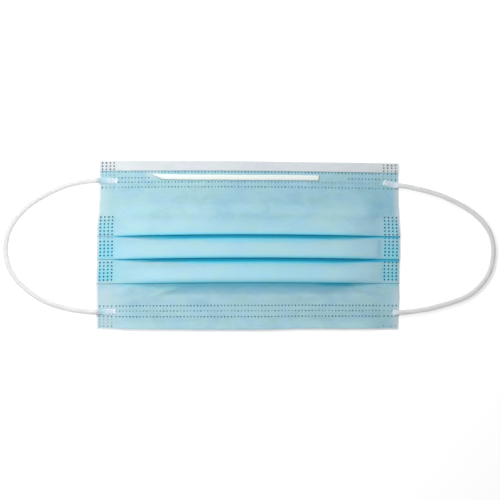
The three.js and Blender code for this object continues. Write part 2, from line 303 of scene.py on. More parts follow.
END_THICKNESS = 0.35
END_WIDTH = 3.3
PINNED = 6.5  # the weld's pins have marked the cord this far from its end
FIRST_PIN = 1.6  # and the first pin's mark lies this far from it
PIN_PITCH = 2.0
PIN_DEPTH = 0.6  # as a share of half the cord's height
TIP_RUN = 1.2  # the very tip is rounded over this length
TIP_TAPER = 0.45  # the share of the cord's width that takes part in this rounding
TIP_SQUARE = 0.12  # and what is left of it at the tip, squared
RIM_RUN = 1.6  # the tip's painted highlight fades over this length
CLOTH_SINK = 1.15  # the cord lies this much lower on the pressed cloth than its CAD solid
SINK_X = 100  # it starts to sink here on its way in, and has sunk after SINK_RUN
SINK_RUN = 8


# -------------------------------- small helpers


def ease(t):
    t = np.clip(t, 0, 1)
    return t * t * (3 - 2 * t)


def by_side(row, u, ending=""):
    """A row's value for the side of the middle on which u lies."""
    return np.where(u < 0, row["left" + ending], row["right" + ending])


def between(rows, place):
    """The values at a place that lies between a table's rows. The first column is the place."""
    first, *others = rows[0]
    places = [row[first] for row in rows]
    return {key: np.interp(place, places, [row[key] for row in rows]) for key in others}


def unit(vectors):
    return vectors / np.linalg.norm(vectors, axis=-1, keepdims=True)


def waves(x, y, seed, length, count=9):
    """A smooth random field of about -1 to 1, which varies over this length."""
    draw = np.random.default_rng(seed)
    field = 0.0
    for _ in range(count):
        angle, phase = draw.uniform(0, 2 * np.pi, 2)
        pace = 2 * np.pi / (length * draw.uniform(0.7, 1.6))
        field = field + np.cos(pace * (x * np.cos(angle) + y * np.sin(angle)) + phase)
    return field / math.sqrt(2 * count)


def add_object(name, data):
    piece = bpy.data.objects.new(name, data)
    bpy.context.scene.collection.objects.link(piece)
    return piece


def add_mesh(name, points, faces, material, **attributes):
    """A smooth piece from points in millimetres, with named values for each point."""
    mesh = bpy.data.meshes.new(name)
    mesh.from_pydata((np.asarray(points) * MM).tolist(), [], faces)
    for key, values in attributes.items():
        values = np.asarray(values, np.float32)
        kind = "FLOAT" if values.ndim == 1 else "FLOAT_VECTOR"
        layer = mesh.attributes.new(key, kind, "POINT")
        layer.data.foreach_set("value" if kind == "FLOAT" else "vector", values.ravel())
    shell = bmesh.new()
    shell.from_mesh(mesh)
    bmesh.ops.recalc_face_normals(shell, faces=shell.faces)
    shell.to_mesh(mesh)
    shell.free()
    mesh.shade_smooth()
    mesh.set_sharp_from_angle(angle=math.radians(65))
    mesh.materials.append(material)
    return add_object(name, mesh)


def tube_faces(lines, width):
    """The faces between rings of points, of this many points each, and across both ends."""
    at = np.arange(lines * width).reshape(lines, width)
    after = np.roll(at, -1, axis=1)
    faces = np.stack([at[:-1], at[1:], after[1:], after[:-1]], axis=-1).reshape(-1, 4).tolist()
    return faces + [at[0].tolist(), at[-1].tolist()]


def stands_for(piece, slot, *nodes):
    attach(piece, "root")
    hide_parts(*nodes)


# -------------------------------- how the cloth is folded


def hidden_y(k):
    return PLEATS[k]["edge_y"] + PLEAT_DEPTH


def laid_y(x, y):
    """Where a point of the ideal rectangle lies once the edges slant and bow."""
    share = x / (2 * HALF_WIDTH) + 0.5
    middle = np.cos(np.pi * x / (2 * HALF_WIDTH))
    edge = y / NOSE_Y
    slant = np.where(edge > 0, NOSE_DROP, CHIN_RISE)
    uneven = between(OUTLINE, x)
    shift = np.where(edge > 0, uneven["nose"], uneven["chin"]) * edge**OUTLINE_HUG
    bow = middle * (EDGE_BOW * edge + PLEAT_BOW * (1 - edge**2))
    return y - slant * share * edge + bow + shift


def laid_x(u, y):
    """The x of a column of the grid, which leans and bows with the side edge next to it."""
    return u * by_side(between(SIDE_EDGES, y), u) / HALF_WIDTH


def loose(x):
    """0 in the side welds and 1 where the cloth lies loose."""
    return ease((WELD_X - np.abs(x)) / WELD_FADE)


def welded_rows(y):
    """1 along the rows of dots at the nose and chin edges, and 0 away from them."""
    return np.maximum(ease((y - NOSE_ROWS_Y) / ROWS_FADE), ease((CHIN_ROWS_Y - y) / ROWS_FADE))


def open_share(k, x):
    """How far pleat k is open at x."""
    return ease((WELD_X - np.abs(x)) / by_side(PLEATS[k], x, "_run"))


def pitch(k, x):
    return PRESSED_PITCH + (PLEATS[k]["pitch"] - PRESSED_PITCH) * open_share(k, x)


def puff(k, x):
    wavy = 1 + PUFF_WAVE * waves(x, 0 * x, 40 + k, 60)
    return PLEATS[k]["puff"] * open_share(k, x) * wavy


def crease_lift(x, y):
    total = 0.0
    for crease in CREASES:
        start = np.array([crease["x1"], crease["y1"]])
        run = np.array([crease["x2"], crease["y2"]]) - start
        length = np.hypot(*run)
        along = ((x - start[0]) * run[0] + (y - start[1]) * run[1]) / length**2
        across = ((x - start[0]) * run[1] - (y - start[1]) * run[0]) / length
        taper = ease(4 * along) * ease(4 * (1 - along))
        total = total + crease["lift"] * taper * np.exp(-((across / crease["width"]) ** 2))
    return total


def ground_z(x, y):
    """Height of the middle of cloth that lies by itself."""
    rise = ease((hidden_y(0) + RISE_RUN - y) / RISE_RUN) * ease((y - CHIN_CREASE_Y) / RISE_RUN)
    free = loose(x) * (1 - ROWS_HOLD * welded_rows(y))
    slow = 0.5 + 0.3 * waves(x, 1.4 * y, 3, 46) + 0.2 * waves(x, 1.6 * y, 4, 19)
    lift = PLEAT_LIFT * rise + RELIEF * np.clip(slow, 0, None) + crease_lift(x, y)
    curl = CURL * ease((CHIN_Y + CURL_RUN - y) / CURL_RUN) * loose(x)
    return PRESSED_MID + (OPEN_MID - PRESSED_MID) * loose(x) + lift * free + curl


def panel_z(k, x, y):
    """Height of the middle of visible panel k, which climbs over the pleat that it ends in."""
    if k == LAST:
        slope = np.clip((y - CHIN_CREASE_Y) / CHIN_SLOPE_RUN, 0, 1)
        rise = slope * ease((hidden_y(k - 1) - y) / RISE_RUN)
        return ground_z(x, y) + CHIN_LIFT * open_share(k - 1, x) * rise
    start = hidden_y(0) + RISE_RUN if k == 0 else hidden_y(k - 1)
    end = hidden_y(k) + PLEATS[k]["pitch"]
    climb = 2 * pitch(k, x) * ease((start - y) / (start - end))
    puffed = puff(k, x) * ease((end + PUFF_RUN - y) / (end + PUFF_RUN - PLEATS[k]["edge_y"]))
    under = np.where(y < hidden_y(k), panel_z(k + 1, x, y), ground_z(x, y))
    return under + climb + puffed


def front_z(k, x, y):
    """Panel k with the shoulder that bends down to its visible edge."""
    height = panel_z(k, x, y)
    if k < LAST:
        bend = ease((PLEATS[k]["edge_y"] + SHOULDER_RUN - y) / SHOULDER_RUN)
        height = height - SHOULDER_DROP * open_share(k, x) * bend
    return height


def return_z(k, x, y):
    """Height of the middle of pleat k's hidden layer, which runs back up from the edge."""
    puffed = puff(k, x) * ease((hidden_y(k) - y) / PLEAT_DEPTH)
    return panel_z(k + 1, x, y) + pitch(k, x) + RETURN_PUFF * puffed


def layer(height, ys, x, facing):
    """Lines of one layer, with the direction in which its front faces: rows y, z, ny and nz."""
    near = 0.05
    y = ys[:, None] + 0 * x
    slope = (height(y + near) - height(y - near)) / (2 * near)
    length = np.hypot(1, slope)
    return np.stack([y, height(y), -slope / length * facing, facing / length])


def fold(above, below, side):
    """Lines of the turn between two layers. It bulges towards the chin (-1) or the nose (1)."""
    turn = (np.arange(FOLD_LINES) + 1) / (FOLD_LINES + 1) * np.pi
    middle, half = (above[:2] + below[:2]) / 2, (above[:2] - below[:2]) / 2
    size = np.hypot(*half)
    cos, sin = np.cos(turn)[:, None], np.sin(turn)[:, None]
    y = middle[0] + half[0] * cos + side * FOLD_REACH * sin
    z = middle[1] + half[1] * cos
    ny = half[0] / size**2 * cos + side / FOLD_REACH * sin
    nz = half[1] / size**2 * cos + 0 * y
    length = np.hypot(ny, nz) * (1 if side < 0 else -1)
    return np.stack([y, z, ny / length, nz / length])


def panel_lines(top, bottom):
    """The y of the grid's lines down a panel. Two of them frame each row of dots."""
    half = DOT_CELL / 2
    rows = [row["y"] for row in DOT_ROWS if bottom < row["y"] - half and row["y"] + half < top]
    marks = [top, *(y + side * half for y in rows for side in (1, -1)), bottom]
    lines = [top]
    for a, b in pairwise(marks):
        count = max(1, math.ceil((a - b) / LINE_STEP))
        lines.extend(np.linspace(a, b, count + 1)[1:])
    return np.array(lines)


def folded_cloth(x):
    """The cloth from the nose edge down through every pleat to the chin edge.

    Gives an array of rows y, z, ny and nz, and for each line its layer and the panel or pleat.
    """
    blocks, names = [], []

    def add(block, name, k):
        blocks.append(block)
        names.extend([(name, k)] * block.shape[1])

    for k in range(LAST + 1):
        top = NOSE_END if k == 0 else hidden_y(k - 1) - FOLD_INSET
        bottom = CHIN_Y if k == LAST else PLEATS[k]["edge_y"] + FOLD_INSET
        panel = layer(lambda y: front_z(k, x, y), panel_lines(top, bottom), x, 1)
        if k > 0:
            add(fold(blocks[-1][:, -1], panel[:, 0], 1), "hidden_fold", k - 1)
        add(panel, "panel", k)
        if k < LAST:
            ys = np.linspace(bottom, hidden_y(k) - FOLD_INSET, RETURN_LINES)
            back = layer(lambda y: return_z(k, x, y), ys, x, -1)
            add(fold(panel[:, -1], back[:, 0], -1), "edge_fold", k)
            add(back, "return", k)
    return np.concatenate(blocks, axis=1), names


def turned_margin(x, first):
    """The lining's lines from its free edge on the front, round the nose edge, to line first."""
    ys = panel_lines(NOSE_Y - TURN_RADIUS - OPEN_GAP - PLY, NOSE_Y - MARGIN_WIDTH)[::-1]
    low = first[1]
    bulge = TURN_BULGE * (1 + waves(x, 0 * x, 8, 34))
    high = low + 2 * TURN_RADIUS + bulge
    level = 0 * (ys[:, None] + x)
    flat = np.stack([ys[:, None] + level, high + level, level, level - 1])
    turn = np.arange(1, TURN_LINES) / TURN_LINES * np.pi
    centre_y, centre_z = flat[0, -1], (high + low) / 2
    radius = (high - low) / 2
    cos, sin = np.cos(turn)[:, None], np.sin(turn)[:, None]
    arc = np.stack([centre_y + TURN_RADIUS * sin, centre_z + radius * cos, -sin + 0 * x, -cos + 0 * x])
    return np.concatenate([flat, arc], axis=1), [("margin", 0)] * (flat.shape[1] + arc.shape[1])


# -------------------------------- the plies as closed sheets


def columns():
    """The grid's columns, from the left side edge to the right one. Two frame each row of dots."""
    between = np.arange(-LAST_DOT, LAST_DOT + DOT_PITCH / 2, DOT_PITCH)
    centres = np.concatenate([np.negative(WELD_DOTS[::-1]), between, WELD_DOTS])
    frames = centres[:, None] + np.array([-DOT_CELL, DOT_CELL]) / 2
    return np.concatenate([[-HALF_WIDTH], frames.ravel(), [HALF_WIDTH]])


def dot_columns(u, reach):
    """Which cells of a line hold a dot: every second one between two distances from the middle."""
    away = np.abs(u[:-1] + u[1:]) / 2
    return (np.arange(len(away)) % 2 == 1) & (away >= reach[0]) & (away < reach[1])


def dot_map(u, y, names, bounds):
    """How deep each cell of the grid is pressed in, where its layer shows on this ply's side."""
    draw = np.random.default_rng(11)
    press = np.zeros((len(names) - 1, len(u) - 1))
    for i, (name, k) in enumerate(names[:-1]):
        top, bottom = (math.inf, -math.inf) if name == "margin" else bounds[k : k + 2]
        if names[i + 1] != (name, k) or name not in ("panel", "margin"):
            continue
        high, low = max(y[i, 0], y[i + 1, 0]), min(y[i, 0], y[i + 1, 0])
        for row in DOT_ROWS:
            if abs((high + low) / 2 - row["y"]) < 0.02 and bottom < low and high < top:
                strength = np.interp(u[:-1], [-HALF_WIDTH, HALF_WIDTH], [row["left"], row["right"]])
                strength = strength * (1 + row["spread"] * draw.uniform(-1.4, 0.9, len(u) - 1))
                strength = np.clip(strength, 0, HARDEST_DOT) * (strength >= FAINTEST_DOT)
                press[i] = strength * dot_columns(u, row["reach"])
    return press


def pressed_dots(outer, inner, press, first):
    """Points and faces of the dots, how far each is pressed in or raised, and the dots' cells."""
    rows, cells = np.nonzero(press > 0)
    strength = press[rows, cells][:, None]
    corners = [(rows, cells), (rows, cells + 1), (rows + 1, cells + 1), (rows + 1, cells)]
    a, b, c, d = (outer[corner] for corner in corners)
    centre = (a + b + c + d) / 4
    out = centre - sum(inner[corner] for corner in corners) / 4
    wall = np.linalg.norm(out, axis=1, keepdims=True)
    out = out / wall
    east, north = unit(b + c - a - d), unit(a + b - c - d)
    east, north = east[:, None], north[:, None]
    angle = np.arange(DOT_SIDES) * 2 * np.pi / DOT_SIDES
    round_ = np.cos(angle)[None, :, None] * east + np.sin(angle)[None, :, None] * north
    rise = (RIM_RISE * strength * out)[:, None]
    depth = (wall * np.clip(0.2 + 0.55 * strength, 0, 0.8) * out)[:, None]
    rim = centre[:, None] + DOT_RIM * round_ + rise
    floor = centre[:, None] + DOT_FLOOR * round_ - depth
    points = np.concatenate([rim, floor], axis=1).reshape(-1, 3)
    count = len(rows)
    ring = first + np.arange(count)[:, None] * 2 * DOT_SIDES + np.arange(2 * DOT_SIDES)
    rim_at, floor_at = ring[:, :DOT_SIDES], ring[:, DOT_SIDES:]
    width = outer.shape[1]
    a, b, c, d = (r * width + s for r, s in corners)
    faces = []
    for start, (p, q) in zip((1, 3, 5, 7), ((b, a), (a, d), (d, c), (c, b))):
        o1, o2, o3 = (rim_at[:, (start + step) % DOT_SIDES] for step in range(3))
        faces += np.stack([p, q, o3, o2, o1], axis=1).tolist()
    rim_next, floor_next = np.roll(rim_at, -1, axis=1), np.roll(floor_at, -1, axis=1)
    faces += np.stack([rim_at, rim_next, floor_next, floor_at], axis=-1).reshape(-1, 4).tolist()
    faces += floor_at.tolist()
    none, full = 0 * (strength + angle), strength + 0 * angle
    depths, rims = (np.concatenate(pair, axis=1).ravel() for pair in ((none, full), (full, none)))
    return points, faces, depths, rims, (rows, cells)


def closed_sheet(name, outer, inner, press, values, material):
    """A ply between two grids of points. values holds what else the material reads at each one."""
    lines, width = outer.shape[:2]
    count = lines * width
    at = np.arange(count).reshape(lines, width)
    cells = np.stack([at[:-1, :-1], at[:-1, 1:], at[1:, 1:], at[1:, :-1]], axis=-1)
    points, faces, depths, rims, (rows, columns_) = pressed_dots(outer, inner, press, 2 * count)
    faces += cells[press == 0].tolist()
    faces += (cells.reshape(-1, 4) + count).tolist()
    rim = np.concatenate([at[0, :-1], at[:-1, -1], at[-1, :0:-1], at[:0:-1, 0]])
    after = np.roll(rim, -1)
    faces += np.stack([rim, after, after + count, rim + count], axis=1).tolist()
    # the raised rims get a painted highlight in the material
    attributes = {
        key: np.concatenate([np.zeros(2 * count), dots])
        for key, dots in (("press", depths), ("raised", rims))
    }
    for key, grid in values.items():
        flat = grid.reshape(count, -1)
        dots = np.repeat(grid[rows, columns_].reshape(len(rows), -1), 2 * DOT_SIDES, axis=0)
        joined = np.concatenate([flat, flat, dots])
        attributes[key] = joined[:, 0] if grid.ndim == 2 else joined
    every = np.concatenate([outer.reshape(-1, 3), inner.reshape(-1, 3), points])
    return add_mesh(name, every, faces, material, **attributes)


def cut_edges(side, u, y):
    """Where a ply's points lie, with its side and chin edges cut inside or outside the outline."""
    proud = np.sign(u) * by_side(UNEVEN, u) * (np.abs(u) > HALF_WIDTH - EDGE_BAND)
    return laid_x(u, y) - side * proud, y + side * UNEVEN["chin"] * (y < CHIN_Y + EDGE_BAND)


def ply(name, side, cloth, names, u, bounds, material):
    """One ply of the folded cloth: the front one on side 1, and the back one on side -1.

    bounds holds the y of the edges between which each panel shows on that side.
    """
    y, z, ny, nz = cloth
    x, cut_y = cut_edges(side, u, y)
    gap = WELDED_GAP + (OPEN_GAP - WELDED_GAP) * loose(u) * (1 - welded_rows(y))
    wall = FUSED_PLY + (PLY - FUSED_PLY) * loose(u)
    grids = []
    for off in (gap + wall, gap):
        at_y = cut_y + side * ny * off
        grids.append(np.stack([x, laid_y(x, at_y), z + side * nz * off], axis=-1))
    outer, inner = grids
    middle = len(u) // 2
    step = np.hypot(np.diff(y[:, middle]), np.diff(z[:, middle]))
    run = np.concatenate([[0], np.cumsum(step)])[:, None]
    # painted glow and shade along the folds, and patches of painted shade, which the material lays on
    # the cloth
    depth, core = block_blue_and_fold_shade(names, y, u)
    values = {
        "cloth": np.stack([u + 0 * y, run + 0 * y, 0 * y], axis=-1),
        "stacked": stacked_share(names, y),
        "deep": np.maximum(depth, patch_share(FOLD_SHADE_PATCHES, names, y, u)),
        "core": np.maximum(core, patch_share(FOLD_SHADE_PATCHES, names, y, u, "dark")),
        "painted_shade": patch_share(PAINTED_SHADE_PATCHES, names, y, u),
        "pale": patch_share(PALES, names, y, u),
    }
    return closed_sheet(name, outer, inner, dot_map(u, y, names, bounds), values, material)


def stacked_share(names, y):
    """How far each point lies on further layers, which make the blue deeper and brighter."""
    share = np.zeros_like(y)
    for i, (name, k) in enumerate(names):
        if name == "panel" and k < LAST:
            share[i] = UNDERLAY * (k > 0) + (1 - UNDERLAY) * ease((hidden_y(k) + 1.5 - y[i]) / 5)
        elif name in ("edge_fold", "return"):
            share[i] = 1
    return share


def patch_share(patches, names, y, u, key="share"):
    """How far each point lies in one of these patches, times the value under this key."""
    share = np.zeros_like(y)
    for patch in patches:
        rows = [i for i, name in enumerate(names) if name == ("panel", patch["k"])]
        away_y = y[rows] - patch["y"]
        away_x = np.abs(u - patch["x"] - patch["lean"] * away_y)
        across = ease((patch["half_x"] - away_x) / patch["fade_x"] + 0.5)
        down = ease((patch["half_y"] - np.abs(away_y)) / patch["fade_y"] + 0.5)
        share[rows] = np.maximum(share[rows], patch[key] * across * down)
    return share


def fold_shade_strength(k, u):
    """How strong the painted shade and glow of pleat k are across the width."""
    shade = PAINTED_PLEAT_SHADOWS[k]
    inside = np.clip(WELD_X + 1 - np.abs(u), 0, None)
    deepened = 1 - np.exp(-inside / by_side(shade, u))
    return np.maximum(deepened, np.where(u > 0, shade["weld"], 0))


def block_blue_and_fold_shade(names, y, u):
    """How far each point lies in a fold or a side block, where the blue is deeper. In the side blocks
    that is the colour of the stacked layers; along the folds it is painted glow at each pleat's edge and
    painted shade in and below it.

    The second grid says how far it lies in the darkest painted shadow, right under a pleat's edge.
    """
    top = BLOCK_TOP + BLOCK_PITCH / 2
    bottom = BLOCK_TOP - BLOCK_PITCH * (BLOCK_ROWS - 0.5)
    across = ease((np.abs(u) - CORNER_X[0] + 1) / BLOCK_FADE)
    along = ease((top - y) / BLOCK_FADE) * ease((y - bottom) / BLOCK_FADE)
    depth = BLOCK_GLOW * across * along * stacked_share(names, y)
    core = np.zeros_like(y)
    turn = 0
    for i, (name, k) in enumerate(names):
        turn = turn + 1 if name == "edge_fold" else 0
        # the fold's own layers: painted glow at the edge, and painted shade where the pleat is closed
        if name in ("edge_fold", "return", "hidden_fold"):
            turned = ease((turn - 2) / (FOLD_LINES - 3)) if turn else 1
            depth[i] = (EDGE_GLOW + (1 - EDGE_GLOW) * turned) * fold_shade_strength(k, u)
            core[i] = (1 - open_share(k, u)) * turned * fold_shade_strength(k, u)
        # painted glow on the panel just above a pleat's edge
        elif name == "panel" and k < LAST:
            above = np.clip(y[i] - PLEATS[k]["edge_y"] - FOLD_INSET, 0, None)
            near = EDGE_GLOW * fold_shade_strength(k, u) * open_share(k, u) ** 0.3
            depth[i] = np.maximum(depth[i], near * np.exp(-above / EDGE_GLOW_RUN))
        # painted shadow on the panel below a pleat's edge, darkest right under it
        if name == "panel" and k > 0:
            shade, most = PAINTED_PLEAT_SHADOWS[k - 1], fold_shade_strength(k - 1, u)
            end = by_side(shade, u, "_end")
            wide = end + (1 - end) * ease((WELD_X - np.abs(u)) / by_side(shade, u, "_run"))
            below = (PLEATS[k - 1]["edge_y"] - y[i]) / wide
            fade = 1 - np.clip((below - shade["core"] + 0.3) / shade["run"], 0, 1)
            depth[i] = np.maximum(depth[i], fade * shade["depth"] * most)
            core_end = ease((shade["core"] + CORE_FADE / 2 - below) / CORE_FADE)
            core[i] = (shade["core"] > 0) * most * core_end
    return depth, core


# -------------------------------- strip and cords

STRIP_TURN = math.radians(-0.4)
STRIP_SLANT = 6
STRIP_WIDTH = 3.1
STRIP_THICKNESS = 0.85
STRIP_LINES = 90
STRIP_INSET = 0.6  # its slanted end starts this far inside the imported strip's
STRIP_ROUNDING = 0.5  # both ends are rounded over this length
STRIP_WANDER = 0.06  # and it strays sideways by this much


def nose_strip(material):
    """A flat strip with rounded edges and a slight crown, its left end cut off at a slant."""
    left, right = STRIP_LO[0] + STRIP_INSET, STRIP_HI[0]
    centre_y = (STRIP_LO[1] + STRIP_HI[1]) / 2
    profile = [(-1, 0.0), (-1, 0.35), (-0.93, 0.72), (-0.8, 0.86), (-0.45, 0.9), (0, 1.0)]
    profile += [(-across, height) for across, height in profile[-2::-1]]
    across = np.array([p[0] for p in profile]) * STRIP_WIDTH / 2
    height = np.array([p[1] for p in profile]) * STRIP_THICKNESS
    share = np.linspace(0, 1, STRIP_LINES)[:, None]
    end_left = left + STRIP_SLANT * (0.5 - across / STRIP_WIDTH)
    x = end_left + (right - end_left) * share
    rounding = ease((x - end_left) / STRIP_ROUNDING) * ease((right - x) / STRIP_ROUNDING)
    y = centre_y + across * (1 - 0.03 * (1 - rounding)) + STRIP_WANDER * waves(x, 0 * x, 21, 30)
    y = y + x * math.tan(STRIP_TURN)
    base = cloth_top(0, x, y)
    z = base.mean(axis=1, keepdims=True) + height * (0.75 + 0.25 * rounding)
    points = np.stack([x, y, z], axis=-1)
    faces = tube_faces(*points.shape[:2])
    return add_mesh("nose_strip_cover", points.reshape(-1, 3), faces, material)


def cloth_top(k, x, y):
    """Height of the blue ply's front on panel k, without the slant and bow of the edges."""
    return panel_z(k, x, y) + OPEN_GAP + PLY


def cord_height(x):
    if abs(x) < CLOTH_X:
        return ON_CLOTH
    return BESIDE_CLOTH if abs(x) < FLOOR_X else ON_FLOOR


def smooth_route(route, step):
    """A centripetal Catmull-Rom curve through the route, and the distance run at each point.

    Its points lie at even steps.
    """
    p = np.array([(x, y, cord_height(x)) for x, y in route])
    p = np.concatenate([[2 * p[0] - p[1]], p, [2 * p[-1] - p[-2]]])
    pieces = []
    for p0, p1, p2, p3 in zip(p, p[1:], p[2:], p[3:]):
        d0, d1, d2 = (np.linalg.norm(b - a) ** 0.5 for a, b in ((p0, p1), (p1, p2), (p2, p3)))
        m1 = ((p1 - p0) / d0 - (p2 - p0) / (d0 + d1) + (p2 - p1) / d1) * d1
        m2 = ((p2 - p1) / d1 - (p3 - p1) / (d1 + d2) + (p3 - p2) / d2) * d1
        t = np.linspace(0, 1, 41)[:-1, None]
        a, b = 2 * p1 - 2 * p2 + m1 + m2, -3 * p1 + 3 * p2 - 2 * m1 - m2
        pieces.append(a * t**3 + b * t**2 + m1 * t + p1)
    dense = np.concatenate([*pieces, p[-2:-1]])
    run = np.concatenate([[0], np.cumsum(np.linalg.norm(np.diff(dense, axis=0), axis=1))])
    even = np.linspace(0, run[-1], round(run[-1] / step) + 1)
    return np.stack([np.interp(even, run, column) for column in dense.T], axis=1), even


def ear_loop(name, route, bright, material):
    """A knitted elastic cord, flattened where its two ends are welded to the cloth.

    Each flattened end is paler, with a painted highlight, up to the distance bright from its tip, and
    bluer beyond it. Gives the piece, the middle line of the cord and its length.
    """
    path, run = smooth_route(route, RING_STEP)
    to_end = np.minimum(run, run[-1] - run)
    flat = ease((FLAT_X - np.abs(path[:, 0])) / FLAT_RUN)[:, None]
    tip = np.sqrt(np.clip(1 - np.clip(1 - to_end / TIP_RUN, 0, 1) ** 2, TIP_SQUARE, 1))[:, None]
    height = (CORD_THICKNESS + (END_THICKNESS - CORD_THICKNESS) * flat) / 2
    width = (CORD_WIDTH + (END_WIDTH - CORD_WIDTH) * flat) / 2
    width = width * (1 - TIP_TAPER + TIP_TAPER * tip)
    path[:, 2] -= CLOTH_SINK * ease((SINK_X - np.abs(path[:, 0])) / SINK_RUN)
    path[:, 2] -= CORD_THICKNESS / 2 - height[:, 0]
    along = unit(np.gradient(path, axis=0))
    across = unit(np.cross([0, 0, 1], along))
    up = np.cross(along, across)
    angle = np.arange(CORD_SIDES) / CORD_SIDES * 2 * np.pi
    stitch = np.cos(WALES * angle + STITCH_SWING * np.sin(2 * np.pi * run[:, None] / COURSE))
    slack = 1 + SLACK * waves(run, 0 * run, 31, 14)[:, None]
    swell = slack * (1 + STITCH_RELIEF * stitch * (1 - 0.6 * flat))
    along_pins = np.cos(2 * np.pi * (to_end - FIRST_PIN) / PIN_PITCH)[:, None]
    across_pins = np.cos(2 * np.pi * width * np.cos(angle) / PIN_PITCH + np.pi)
    near_end = ease((PINNED - to_end) / 1.5)[:, None]
    on_top = np.sin(angle) > 0.2
    pin = near_end * flat * np.clip(along_pins, 0, 1) * np.clip(across_pins, 0, 1) * on_top
    dent = PIN_DEPTH * height * pin
    side = (width * swell * np.cos(angle))[..., None] * across[:, None]
    rise = ((height * swell - dent) * np.sin(angle))[..., None] * up[:, None]
    points = path[:, None] + side + rise
    turns = np.stack([angle + 0 * flat, run[:, None] + 0 * angle, 0 * (flat + angle)], axis=-1)
    # painted highlight: each flattened end is lighter along its sides and at its tip
    rim = np.maximum(0.6 * np.abs(np.cos(angle)) ** 3, np.exp(-((to_end[:, None] / RIM_RUN) ** 2)))
    tinted = ease((to_end[:, None] - bright) / 2)
    rim = rim * (1 - 0.8 * tinted)
    values = {
        "cord": turns.reshape(-1, 3),
        "pressed": (flat + 0 * angle).ravel(),
        "rim": rim.ravel(),
        "pin": pin.ravel(),
        "tinted": (tinted + 0 * angle).ravel(),
    }
    faces = tube_faces(*points.shape[:2])
    piece = add_mesh(name, points.reshape(-1, 3), faces, material, **values)
    return piece, path, run[-1]


# -------------------------------- materials


BUMP_DISTANCE = 0.0001  # in metres, as Blender takes it


class Nodes:
    """A short way to write a material's nodes."""

    def __init__(self, name):
        self.material = bpy.data.materials.new(name)
        self.material.use_nodes = True
        self.tree = self.material.node_tree
        self.tree.nodes.clear()

    def add(self, kind, values=None, **settings):
        node = self.tree.nodes.new("ShaderNode" + kind)
        for key, value in settings.items():
            setattr(node, key, value)
        for key, value in (values or {}).items():
            if isinstance(value, bpy.types.NodeSocket):
                self.tree.links.new(value, node.inputs[key])
            else:
                node.inputs[key].default_value = value
        return node

    def attribute(self, name, output="Fac"):
        return self.add("Attribute", attribute_name=name).outputs[output]

    def math(self, operation, a, b=0.0, clamp=False):
        node = self.add("Math", {0: a, 1: b}, operation=operation, use_clamp=clamp)
        return node.outputs[0]

    def mix(self, share, a, b, blend="MIX"):
        node = self.add("Mix", {0: share, 6: a, 7: b}, data_type="RGBA", blend_type=blend)
        return node.outputs[2]

    def stretch(self, vector, scale, turn=0.0):
        node = self.add("Mapping", {"Vector": vector, "Scale": scale, "Rotation": (0, 0, turn)})
        return node.outputs[0]

    def noise(self, vector, scale, detail=3.0, roughness=0.5, swirl=0.0):
        values = {"Vector": vector, "Scale": scale, "Detail": detail, "Roughness": roughness}
        values["Distortion"] = swirl
        return self.add("TexNoise", values).outputs[0]

    def ramp(self, value, low, high, to_low=0.0, to_high=1.0):
        values = {0: value, 1: low, 2: high, 3: to_low, 4: to_high}
        return self.add("MapRange", values, interpolation_type="SMOOTHSTEP").outputs[0]

    def bump(self, height, strength):
        values = {"Height": height, "Strength": strength, "Distance": BUMP_DISTANCE}
        return self.add("Bump", values).outputs[0]

    def finish(self, values, through=None):
        """The finished material. through is the share of light that passes it, if any does."""
        shader = self.add("BsdfPrincipled", values).outputs[0]
        if through is not None:
            values = {"Color": values["Base Color"], "Normal": values["Normal"]}
            passing = self.add("BsdfTranslucent", values).outputs[0]
            shader = self.add("MixShader", {0: through, 1: shader, 2: passing}).outputs[0]
        self.add("OutputMaterial", {"Surface": shader})
        return self.material


def colour(red, green, blue):
    return (red, green, blue, 1.0)


def bonded_fibres(nodes, cloth):
    """A spunbond web: crossed fibres, held by small bonds in a diamond grid.

    Gives its height, and a value that is 0 in the bonds and 1 away from them.
    """
    height = 0.0
    for turn in (0.35, -0.5, 1.3):
        turned = nodes.stretch(cloth, (0.9, 7.0, 1.0), turn)
        strands = nodes.noise(turned, 1.6, 2.0, 0.6)
        height = nodes.math("ADD", height, nodes.ramp(strands, 0.45, 0.7))
    lattice = nodes.stretch(cloth, (0.75, 0.75, 0.75), math.pi / 4)
    cells = nodes.add("TexVoronoi", {"Vector": lattice, "Scale": 1.0, "Randomness": 0.12})
    bond = nodes.ramp(cells.outputs["Distance"], 0.16, 0.3)
    return nodes.math("MULTIPLY", nodes.math("ADD", height, 0.6), bond), bond


